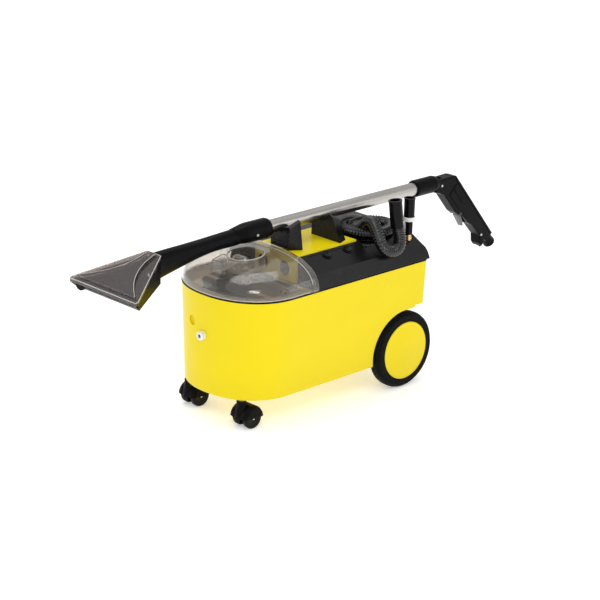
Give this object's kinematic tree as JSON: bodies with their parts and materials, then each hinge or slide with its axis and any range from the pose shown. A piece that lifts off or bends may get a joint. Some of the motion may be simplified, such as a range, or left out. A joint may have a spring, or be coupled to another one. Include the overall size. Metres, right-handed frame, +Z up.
{
  "type": "spray extraction carpet cleaner",
  "caption": "Yellow wheeled spray-extraction carpet cleaner with a clear domed lid, lift-out tank, and a floor wand parked on top beside its coiled hose.",
  "frame": {"origin": "on the floor, under the middle of the overall length from nozzle lip to hose stub, in the machine's middle plane", "axes": "+Z up, -Y towards the rounded nose and the wand's nozzle, +X towards the switch panel's side"},
  "size_m": [0.3441, 1.3343, 0.487],
  "materials": {
    "yellow_shell": "smooth moulded",
    "black_plastic": "fine moulded grain",
    "black_gloss": "smooth moulded",
    "seal_rubber": "smooth",
    "tyre_rubber": "plain tread",
    "clear_lid": "clear moulded plastic",
    "smoky_cover": "smoke-tinted clear plastic",
    "beige_plastic": "moulded",
    "white_plastic": "moulded",
    "grey_plastic": "moulded",
    "brushed_tube": "brushed along the tube",
    "steel": "turned",
    "brass": "turned",
    "hose_plastic": "ribbed"
  },
  "bodies": {
    "machine": {"housing": "yellow_shell", "rim_gasket": "seal_rubber", "deck_cover": "black_plastic", "crown_cover": "yellow_shell", "control_panel": "black_gloss", "front_bracket": "black_plastic", "rear_bracket": "black_plastic", "rear_axle": "steel", "turbine_motor": "steel", "fan_housing": "steel", "motor_stand": "grey_plastic", "intake_duct": "grey_plastic", "suction_duct": "hose_plastic", "solution_pump": "grey_plastic", "inlet_strainer": "white_plastic", "pump_inlet_hose": "white_plastic", "pressure_hose": "black_plastic", "suction_port": "black_plastic", "spray_coupling": "brass", "mains_gland": "black_plastic", "drain_spout": "white_plastic", "adapter_tube": "black_gloss", "adapter_ring": "white_plastic", "adapter_fitting": "brass", "hose_coil": "hose_plastic", "hose_end": "hose_plastic", "hose_cuff": "black_gloss"},
    "pump_rocker": {"pump_switch": "black_gloss"},
    "turbine_rocker": {"turbine_switch": "black_gloss"},
    "lid": {"dome_lid": "clear_lid", "lid_grip": "black_plastic", "float_cage": "clear_lid"},
    "float": {"float_ball": "white_plastic"},
    "tank": {"waste_tank": "beige_plastic"},
    "bail": {"tank_bail": "black_plastic"},
    "strainer": {"lint_strainer": "black_plastic"},
    "plug": {"drain_plug": "grey_plastic"},
    "wand": {"wand_tube": "brushed_tube", "wand_neck": "black_plastic", "nozzle_body": "black_plastic", "nozzle_cover": "smoky_cover", "spray_jet": "brass", "spray_line": "black_plastic", "near_handle_half": "black_plastic", "far_handle_half": "black_plastic", "hose_stub": "black_plastic", "wand_screws": "steel"},
    "trigger_lever": {"trigger": "grey_plastic"},
    "near_rear_wheel": {"near_tyre": "tyre_rubber", "near_wheel": "grey_plastic", "near_hub_cap": "yellow_shell"},
    "near_caster": {"near_caster_fork": "black_plastic", "near_caster_pins": "steel"},
    "near_caster_roller": {"near_caster_wheels": "black_gloss"},
    "far_rear_wheel": {"far_tyre": "tyre_rubber", "far_wheel": "grey_plastic", "far_hub_cap": "yellow_shell"},
    "far_caster": {"far_caster_fork": "black_plastic", "far_caster_pins": "steel"},
    "far_caster_roller": {"far_caster_wheels": "black_gloss"}
  },
  "joints": [
    {"name": "pump_rocker_tilt", "type": "hinge", "parent": "machine", "child": "pump_rocker", "pos_m": [0.10225, -0.0592, 0.37963], "axis": [0, 1, 0], "range_deg": [-8, 8]},
    {"name": "turbine_rocker_tilt", "type": "hinge", "parent": "machine", "child": "turbine_rocker", "pos_m": [0.10225, 0.0098, 0.37963], "axis": [0, 1, 0], "range_deg": [-8, 8]},
    {"name": "wand_lift", "type": "slide", "parent": "machine", "child": "wand", "axis": [0, 0, 1], "range_m": [0, 0.5]},
    {"name": "lid_lift", "type": "slide", "parent": "machine", "child": "lid", "axis": [0, 0, 1], "range_m": [0, 0.45]},
    {"name": "tank_lift", "type": "slide", "parent": "machine", "child": "tank", "axis": [0, 0, 1], "range_m": [0, 0.225]},
    {"name": "bail_swing", "type": "hinge", "parent": "tank", "child": "bail", "pos_m": [0, -0.2192, 0.325], "axis": [1, 0, 0], "range_deg": [0, 90]},
    {"name": "strainer_lift", "type": "slide", "parent": "tank", "child": "strainer", "axis": [0, 0, 1], "range_m": [0, 0.075]},
    {"name": "float_rise", "type": "slide", "parent": "lid", "child": "float", "axis": [0, 0, 1], "range_m": [0, 0.0048]},
    {"name": "plug_pull", "type": "slide", "parent": "machine", "child": "plug", "axis": [0, -1, 0], "range_m": [0, 0.03]},
    {"name": "trigger_pull", "type": "hinge", "parent": "wand", "child": "trigger_lever", "pos_m": [0, 0.51772, 0.3495], "axis": [1, 0, 0], "range_deg": [0, 12], "stiffness_Nm_per_rad": 0.6},
    {"name": "near_wheel_spin", "type": "hinge", "parent": "machine", "child": "near_rear_wheel", "pos_m": [0.144, 0.1678, 0.098], "axis": [1, 0, 0], "continuous": true},
    {"name": "near_caster_swivel", "type": "hinge", "parent": "machine", "child": "near_caster", "pos_m": [0.093, -0.3212, 0.06], "axis": [0, 0, 1], "continuous": true},
    {"name": "near_caster_spin", "type": "hinge", "parent": "near_caster", "child": "near_caster_roller", "pos_m": [0.093, -0.3032, 0.026], "axis": [1, 0, 0], "continuous": true},
    {"name": "far_wheel_spin", "type": "hinge", "parent": "machine", "child": "far_rear_wheel", "pos_m": [-0.144, 0.1678, 0.098], "axis": [1, 0, 0], "continuous": true},
    {"name": "far_caster_swivel", "type": "hinge", "parent": "machine", "child": "far_caster", "pos_m": [-0.093, -0.3212, 0.06], "axis": [0, 0, 1], "continuous": true},
    {"name": "far_caster_spin", "type": "hinge", "parent": "far_caster", "child": "far_caster_roller", "pos_m": [-0.093, -0.3032, 0.026], "axis": [1, 0, 0], "continuous": true}
  ],
  "couplings": [
    {"joint": "lid_lift", "follows": "wand_lift", "ratio": 0.9},
    {"joint": "tank_lift", "follows": "wand_lift", "ratio": 0.45},
    {"joint": "bail_swing", "follows": "wand_lift", "rad_per_m": 3.14},
    {"joint": "strainer_lift", "follows": "wand_lift", "ratio": 0.15}
  ]
}
